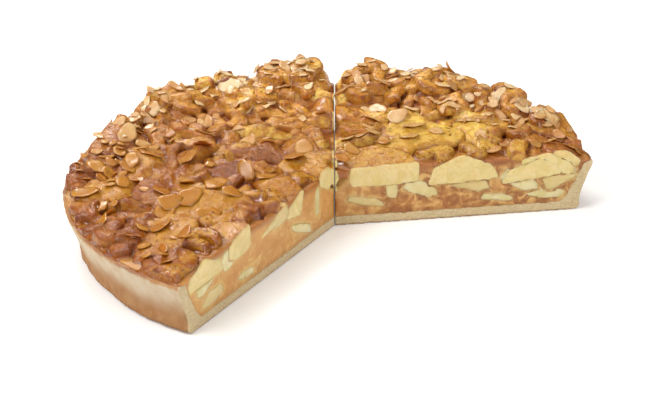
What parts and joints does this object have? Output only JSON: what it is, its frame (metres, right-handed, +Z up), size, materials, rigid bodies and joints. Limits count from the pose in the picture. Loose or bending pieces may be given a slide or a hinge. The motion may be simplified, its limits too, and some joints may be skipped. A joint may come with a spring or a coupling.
{
  "type": "apple pie",
  "caption": "Round shortcrust apple pie, cut and partly eaten: a low leaning crust wall, custard and apple filling, browned glazed apple wedges and almond flakes on top.",
  "frame": {"origin": "on the underside, under the middle of the pie's outline seen from above", "axes": "+Z up; +X to the right of the picture's view, along the longest extent; +Y away from the viewer"},
  "size_m": [0.2782, 0.2614, 0.0436],
  "materials": {
    "crust": "baked shortcrust, matt and grainy, pale ivory where it is cut",
    "custard": "set custard with apple pulp, moist, slightly translucent",
    "apple_flesh": "cooked apple flesh where a knife went through, moist",
    "apple_topping": "baked apple under a clear amber glaze, glossy, browned edges",
    "almond": "roasted almond flakes, translucent beige with brown edges, glazed",
    "glaze": "set fruit glaze and caramel, dark amber, very glossy"
  },
  "bodies": {
    "root": {"apple_wedge_01": "apple_topping", "apple_wedge_02": "apple_topping", "apple_wedge_03": "apple_topping", "apple_wedge_04": "apple_topping", "apple_wedge_05": "apple_topping", "apple_wedge_06": "apple_topping", "apple_wedge_07": "apple_topping", "apple_wedge_08": "apple_topping", "apple_wedge_09": "apple_topping", "apple_wedge_10": "apple_topping", "apple_wedge_11": "apple_topping", "apple_wedge_12": "apple_topping", "apple_wedge_13": "apple_topping", "apple_wedge_14": "apple_topping", "apple_wedge_15": "apple_topping", "apple_wedge_16": "apple_topping", "apple_wedge_17": "apple_topping", "apple_wedge_18": "apple_topping", "apple_wedge_19": "apple_topping", "apple_wedge_20": "apple_topping", "apple_wedge_21": "apple_topping", "apple_wedge_22": "apple_topping", "apple_wedge_23": "apple_topping", "apple_wedge_24": "apple_topping", "apple_wedge_25": "apple_topping", "apple_wedge_26": "apple_topping", "apple_wedge_27": "apple_topping", "apple_wedge_28": "apple_topping", "apple_wedge_29": "apple_topping", "apple_wedge_30": "apple_topping", "apple_wedge_31": "apple_topping", "apple_wedge_32": "apple_topping", "apple_wedge_33": "apple_topping", "apple_wedge_34": "apple_topping", "apple_wedge_35": "apple_topping", "apple_wedge_36": "apple_topping", "apple_wedge_37": "apple_topping", "apple_wedge_38": "apple_topping", "apple_wedge_39": "apple_topping", "apple_wedge_40": "apple_topping", "apple_wedge_41": "apple_topping", "crust_left": "crust", "crust_right": "crust", "custard_left": "custard", "custard_right": "custard", "sunk_apple_01": "apple_flesh", "sunk_apple_02": "apple_flesh", "sunk_apple_03": "apple_flesh", "sunk_apple_04": "apple_flesh", "sunk_apple_05": "apple_flesh", "sunk_apple_06": "apple_flesh", "sunk_apple_07": "apple_flesh", "sunk_apple_08": "apple_flesh", "sunk_apple_09": "apple_flesh", "sunk_apple_10": "apple_flesh", "sunk_apple_11": "apple_flesh", "sunk_apple_12": "apple_flesh", "sunk_apple_13": "apple_flesh", "sunk_apple_14": "apple_flesh", "sunk_apple_15": "apple_flesh"}
  },
  "joints": []
}
